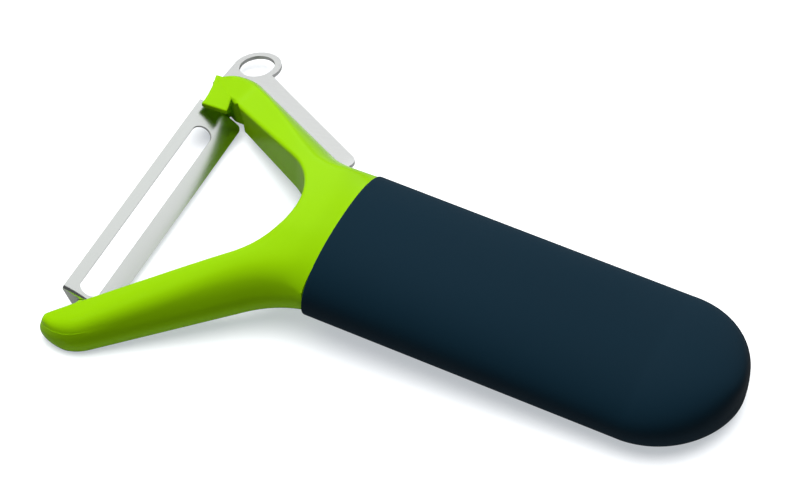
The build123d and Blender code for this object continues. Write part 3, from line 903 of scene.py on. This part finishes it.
class PEELER_OT_blade(bpy.types.Operator):
    """Makes the stamped blade: an arched sheet with a slot and an ear folded down at each end"""

    bl_idname = "peeler.blade"
    bl_label = "Blade"

    # Front and rear edge: x, and height over the pivot axis
    front_edge = (-4.7, 3.0)
    rear_edge = (4.8, -1.6)
    # The slot's sides, its middle along the blade, and the rounding of the rear corners
    slot_front, slot_rear = -2.3, 1.65
    slot_middle = -2.4
    corner = 1.5
    # An ear ends in an arc about the pivot axis; its end corners lie this share of the way down
    ear_radius = 3.0
    ear_arc = (np.radians(210.0), np.radians(300.0))
    ear_corner = 0.3
    # Points across a strip, on a slot's round end and along its straight side, in a fold, on the flat ends
    across_points = 12
    round_points, side_points, fold_points = 12, 60, 8
    near_end_points, far_end_points = 5, 12
    ear_rows = 8

    def execute(self, context):
        sizes = in_millimetres(context.scene.peeler.blade)
        points, faces = self.sheet(sizes)
        steel = rolled_steel(
            "blade_steel", sizes.paint, smoothest=0.20, roughest=0.30, stretch=(1.0, 0.04, 1.0)
        )
        piece = make_piece("swivel_blade", points, faces, steel, BLADE_BODY, merge=0.0005)
        sharpen_rims(piece.data)
        thick = piece.modifiers.new("sheet", "SOLIDIFY")
        thick.thickness = sizes.sheet * MM
        thick.offset = -1.0
        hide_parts("blade")
        return {"FINISHED"}

    def arch(self, x, crown):
        """Height of the sheet over a point across: the chord between its edges plus a parabola."""
        (front_x, front_rise), (rear_x, rear_rise) = self.front_edge, self.rear_edge
        share = (x - front_x) / (rear_x - front_x)
        chord = pivot_height + front_rise + share * (rear_rise - front_rise)
        return chord + 4.0 * crown * share * (1.0 - share)

    def places(self, sizes, straight, radius):
        """Places along the blade, closer together at the slot's round ends and in the folds."""
        round_end = straight + radius * np.sin(np.linspace(0.0, np.pi / 2, self.round_points))
        side = np.linspace(-straight, straight, self.side_points)
        slot = np.concatenate([-round_end[:0:-1], side, round_end[1:]]) + self.slot_middle
        flat_end = sizes.span / 2.0 - sizes.fold_radius
        fold = flat_end + sizes.fold_radius * np.sin(np.linspace(0.0, np.pi / 2, self.fold_points)[1:])
        before = np.linspace(-flat_end, slot[0], self.near_end_points)[:-1]
        after = np.linspace(slot[-1], flat_end, self.far_end_points)[1:]
        return np.concatenate([-fold[::-1], before, slot, after, fold])

    def sheet(self, sizes):
        """The sheet's upper face: a strip before and one behind the slot, and the ears.

        The slot is a rectangle with half circles at its ends, where the strips meet. Each strip goes
        straight across between its two edges, at the arch's height less the quarter circle of the fold."""
        radius, middle = (self.slot_rear - self.slot_front) / 2.0, (self.slot_rear + self.slot_front) / 2.0
        straight = sizes.slot_length / 2.0 - radius
        y = self.places(sizes, straight, radius)
        from_middle, from_end = np.abs(y - self.slot_middle), sizes.span / 2.0 - np.abs(y)
        opening = np.sqrt(np.maximum(radius**2 - np.clip(from_middle - straight, 0.0, radius) ** 2, 0.0))
        opening[from_middle >= sizes.slot_length / 2.0 - 1e-9] = 0.0
        drop = sizes.fold_radius * arc_fall(np.clip(1.0 - from_end / sizes.fold_radius, 0.0, 1.0))
        rear_x = self.rear_edge[0] - self.corner * arc_fall(np.clip(1.0 - from_end / self.corner, 0.0, 1.0))
        share = np.linspace(0.0, 1.0, self.across_points)[:, None]
        front_strip = self.front_edge[0] + share * (middle - opening - self.front_edge[0])
        rear_strip = middle + opening + share * (rear_x - middle - opening)
        shells = []
        for x in (front_strip, rear_strip):
            points = np.stack(np.broadcast_arrays(x, y, self.arch(x, sizes.crown) - drop), axis=-1)
            shells.append((points.reshape(-1, 3), grid_quads(*x.shape)))
        for side, column in ((1, -1), (-1, 0)):
            across = np.concatenate([front_strip[:, column], rear_strip[1:, column]])
            shells.append(self.ear(sizes, side, across))
        return join_shells(*shells)

    def ear(self, sizes, side, across):
        """An ear: rows straight down from the fold, which narrow to an arc about the pivot axis."""
        top = np.stack([across, self.arch(across, sizes.crown) - sizes.fold_radius], axis=-1)
        turn = np.linspace(*self.ear_arc, len(across))
        low = self.ear_radius * np.stack([np.cos(turn), np.sin(turn)], axis=-1) + [0.0, pivot_height]
        low[0] = top[0] + self.ear_corner * (low[1] - top[0])
        low[-1] = top[-1] + self.ear_corner * (low[-2] - top[-1])
        down = np.linspace(0.0, 1.0, self.ear_rows)[:, None, None]
        x, z = np.moveaxis(top * (1.0 - down) + low * down, -1, 0)
        points = np.stack(np.broadcast_arrays(x, side * sizes.span / 2.0, z), axis=-1)
        return points.reshape(-1, 3), grid_quads(*x.shape)


class PEELER_OT_loop(bpy.types.Operator):
    """Makes the loop tool: the solid's own shape with its stamped edges softened"""

    bl_idname = "peeler.loop"
    bl_label = "Loop tool"

    def execute(self, context):
        sizes = in_millimetres(context.scene.peeler.loop)
        steel = rolled_steel(
            "loop_steel", sizes.paint, smoothest=0.28, roughest=0.40, stretch=(0.06, 1.0, 1.0)
        )
        source = frame["nodes"]["eye_remover"]
        drawn = bmesh.new()
        drawn.from_mesh(source.data)
        drawn.transform(source.matrix_world)
        bmesh.ops.remove_doubles(drawn, verts=drawn.verts, dist=0.001 * MM)
        mesh = bpy.data.meshes.new("loop_tool")
        drawn.to_mesh(mesh)
        drawn.free()
        mesh.materials.append(steel)
        mesh.shade_smooth()
        mesh.set_sharp_from_angle(angle=np.radians(35.0))
        piece = bpy.data.objects.new("loop_tool", mesh)
        context.scene.collection.objects.link(piece)
        soften = piece.modifiers.new("soften", "BEVEL")
        soften.width = sizes.edge * MM
        soften.segments = 3
        soften.limit_method = "ANGLE"
        soften.angle_limit = np.radians(50.0)
        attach(piece, HANDLE_BODY)
        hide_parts("eye_remover")
        return {"FINISHED"}


class PEELER_OT_pins(bpy.types.Operator):
    """Makes the two pivot pins with rounded heads"""

    bl_idname = "peeler.pins"
    bl_label = "Pivot pins"

    def execute(self, context):
        sizes = in_millimetres(context.scene.peeler.pins)
        steel = rolled_steel(
            "pin_steel", sizes.paint, smoothest=0.22, roughest=0.34, stretch=(1.0, 0.1, 1.0)
        )
        turn = np.linspace(0.0, np.pi / 2, 7)
        for name, side in (("pivot_pin_left", 1), ("pivot_pin_right", -1)):
            low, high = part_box(name)
            inner, outer = sorted((abs(low.y) / MM, abs(high.y) / MM))
            radius = (high.x - low.x) / 2 / MM
            radii = np.concatenate([radius * np.sin(turn), [radius, 0.0]])
            places = side * np.concatenate([inner + sizes.head_round * (1.0 - np.cos(turn)), [outer, outer]])
            points, faces = revolve_y(radii, places, 0.0, pivot_height)
            piece = make_piece(name + "_turned", points, faces, steel, HANDLE_BODY)
            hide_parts(name)
        return {"FINISHED"}


class PEELER_OT_stage(bpy.types.Operator):
    """Sets the camera, the white table and the lamps"""

    bl_idname = "peeler.stage"
    bl_label = "Stage"

    # The lamps' aim from the pivot axis, mm
    lamp_aim = (50.0, 0.0, 5.0)
    # Places from that aim in metres, the key's to the right, towards the camera and up, and the lamps' sizes
    key_place = (-0.2, -0.42, 0.86)
    overhead_height = 0.9
    card_place = (-0.05, 1.1, 0.86)
    key_size, overhead_size, card_size = (0.8, 0.8), (1.2, 1.2), (2.8, 1.4)
    # The table's grey under light and in reflections, and what the camera sees on top of it
    lit_grey, mirrored_grey, seen_grey = 0.22, 0.15, 0.24
    # Its glow: from and to which distance it grows, in metres, and from and to which strength
    glow_rise = {"From Min": 0.12, "From Max": 0.30, "To Min": 0.52, "To Max": 1.1}
    glow_colour = (0.90, 0.95, 1.0, 1.0)

    def execute(self, context):
        sizes = in_millimetres(context.scene.peeler.stage)
        self.camera(context, sizes)
        self.lamps(sizes, self.table())
        self.world(context)
        context.scene.view_settings.view_transform = "Standard"
        return {"FINISHED"}

    def back(self, sizes):
        """Unit vector from the aim to the camera."""
        azimuth, elevation = sizes.azimuth, sizes.elevation
        return Vector((
            np.sin(azimuth) * np.cos(elevation), -np.cos(azimuth) * np.cos(elevation), np.sin(elevation)
        ))

    def camera(self, context, sizes):
        """A camera that looks at the aim, with the lens that gives the focal length in pixels."""
        sensor, picture_width = 36.0, 800.0
        lens = bpy.data.cameras.new("camera")
        lens.sensor_width = sensor
        lens.lens = sizes.focal_pixels / picture_width * sensor
        camera = bpy.data.objects.new("camera", lens)
        context.scene.collection.objects.link(camera)
        aim = Vector(sizes.aim * MM + pivot_foot)
        back = self.back(sizes)
        camera.location = aim + back * sizes.distance * MM
        camera.rotation_euler = (-back).to_track_quat("-Z", "Y").to_euler()
        context.scene.camera = camera

    def table(self):
        """A wide table just under the object; returns the collections that hold only it, and all but it."""
        mesh = bpy.data.meshes.new("table")
        reach, below = 3.0, 0.00002
        corners = [(-reach, -reach, 0.0), (reach, -reach, 0.0), (reach, reach, 0.0), (-reach, reach, 0.0)]
        mesh.from_pydata(corners, [], [(0, 1, 2, 3)])
        mesh.materials.append(self.table_white())
        table = bpy.data.objects.new("table", mesh)
        bpy.context.scene.collection.objects.link(table)
        table.location = (pivot_foot[0], 0.0, -below)
        only_table = bpy.data.collections.new("only the table")
        only_table.objects.link(table)
        all_but_table = bpy.data.collections.new("all but the table")
        all_but_table.objects.link(table)
        all_but_table.collection_objects[0].light_linking.link_state = "EXCLUDE"
        return only_table, all_but_table

    def table_white(self):
        """A grey that keeps the shadows, plus a glow that only the camera sees.

        The glow grows with the distance from the object, so that the background turns white."""
        material = bpy.data.materials.new("table_white")
        material.use_nodes = True
        tree = material.node_tree
        tree.nodes.clear()
        output = tree.nodes.new("ShaderNodeOutputMaterial")
        add = tree.nodes.new("ShaderNodeAddShader")
        diffuse = tree.nodes.new("ShaderNodeBsdfDiffuse")
        path = tree.nodes.new("ShaderNodeLightPath")
        lit = ramp(tree, path.outputs["Is Glossy Ray"], low=self.lit_grey, high=self.mirrored_grey)
        seen = ramp(tree, path.outputs["Is Camera Ray"], low=0.0, high=self.seen_grey)
        tree.links.new(sum_of(tree, lit, seen), diffuse.inputs["Color"])
        coordinates = tree.nodes.new("ShaderNodeTexCoord")
        away = tree.nodes.new("ShaderNodeVectorMath")
        away.operation = "LENGTH"
        tree.links.new(coordinates.outputs["Object"], away.inputs[0])
        rise = tree.nodes.new("ShaderNodeMapRange")
        for socket, value in self.glow_rise.items():
            rise.inputs[socket].default_value = value
        tree.links.new(away.outputs["Value"], rise.inputs["Value"])
        level = tree.nodes.new("ShaderNodeMath")
        level.operation = "MULTIPLY"
        tree.links.new(rise.outputs["Result"], level.inputs[0])
        tree.links.new(path.outputs["Is Camera Ray"], level.inputs[1])
        glow = tree.nodes.new("ShaderNodeEmission")
        glow.inputs["Color"].default_value = self.glow_colour
        tree.links.new(level.outputs[0], glow.inputs["Strength"])
        tree.links.new(diffuse.outputs[0], add.inputs[0])
        tree.links.new(glow.outputs[0], add.inputs[1])
        tree.links.new(add.outputs[0], output.inputs["Surface"])
        return material

    def lamp(self, name, place, aim, size, energy):
        """An area lamp aimed at a point, as wide and high as the size says."""
        light = bpy.data.lights.new(name, "AREA")
        light.shape = "ELLIPSE"
        light.size, light.size_y = size
        light.energy = energy
        lamp = bpy.data.objects.new(name, light)
        bpy.context.scene.collection.objects.link(lamp)
        lamp.location = place
        lamp.rotation_euler = (Vector(aim) - Vector(place)).to_track_quat("-Z", "Y").to_euler()
        return lamp

    def lamps(self, sizes, table_links):
        """A soft key lamp above and behind the object, an overhead lamp and a card.

        The key lights all but the table, and no glossy surface shows it. The overhead lamp lights the table
        alone, so that the shadows are short. Only glossy surfaces reflect the card."""
        only_table, all_but_table = table_links
        aim = np.array(self.lamp_aim) * MM + pivot_foot
        back = np.array(self.back(sizes))
        level_back = np.array([back[0], back[1], 0.0]) / np.hypot(back[0], back[1])
        right = np.array([-level_back[1], level_back[0], 0.0])
        up = np.array([0.0, 0.0, 1.0])
        key_place = aim + np.array(self.key_place) @ np.array([right, level_back, up])
        key = self.lamp("key", key_place, aim, self.key_size, sizes.key_power)
        key.light_linking.receiver_collection = all_but_table
        key.visible_glossy = False
        overhead_place = aim + up * self.overhead_height
        overhead = self.lamp("overhead", overhead_place, aim, self.overhead_size, sizes.overhead_power)
        overhead.light_linking.receiver_collection = only_table
        card = self.lamp("card", aim + np.array(self.card_place), aim, self.card_size, sizes.card_power)
        card.visible_diffuse = False

    def world(self, context):
        """A white surround, as the camera sees it; it lights the object only faintly."""
        world = bpy.data.worlds.new("studio")
        context.scene.world = world
        world.use_nodes = True
        tree = world.node_tree
        background = tree.nodes["Background"]
        background.inputs["Color"].default_value = (1.0, 1.0, 1.0, 1.0)
        path = tree.nodes.new("ShaderNodeLightPath")
        seen = ramp(tree, path.outputs["Is Camera Ray"], low=0.06, high=1.0)
        reflected = ramp(tree, path.outputs["Is Glossy Ray"], low=0.0, high=0.03)
        tree.links.new(sum_of(tree, seen, reflected), background.inputs["Strength"])


class PEELER_PT_panel(bpy.types.Panel):
    """Lists the pieces of the peeler, each with its sizes"""

    bl_idname = "PEELER_PT_panel"
    bl_label = "Peeler"
    bl_space_type = "VIEW_3D"
    bl_region_type = "UI"
    bl_category = "Peeler"

    def draw(self, context):
        settings = context.scene.peeler
        for operator in PIECES:
            box = self.layout.box()
            box.operator(operator.bl_idname)
            group = getattr(settings, operator.bl_idname.removeprefix("peeler."))
            for key in type(group).__annotations__:
                box.prop(group, key)


PIECES = (PEELER_OT_frame, PEELER_OT_grip, PEELER_OT_blade, PEELER_OT_loop, PEELER_OT_pins, PEELER_OT_stage)
GROUPS = (FrameSizes, GripSizes, BladeSizes, LoopSizes, PinSizes, StageSizes, PeelerSettings)


def register():
    for group in GROUPS:
        bpy.utils.register_class(group)
    bpy.types.Scene.peeler = PointerProperty(type=PeelerSettings)
    for operator in PIECES:
        bpy.utils.register_class(operator)
    bpy.utils.register_class(PEELER_PT_panel)


def unregister():
    bpy.utils.unregister_class(PEELER_PT_panel)
    for operator in reversed(PIECES):
        bpy.utils.unregister_class(operator)
    del bpy.types.Scene.peeler
    for group in reversed(GROUPS):
        bpy.utils.unregister_class(group)


def main():
    register()
    bpy.ops.peeler.frame()
    bpy.ops.peeler.grip()
    bpy.ops.peeler.blade()
    bpy.ops.peeler.loop()
    bpy.ops.peeler.pins()
    bpy.ops.peeler.stage()


if __name__ == "__main__":
    main()
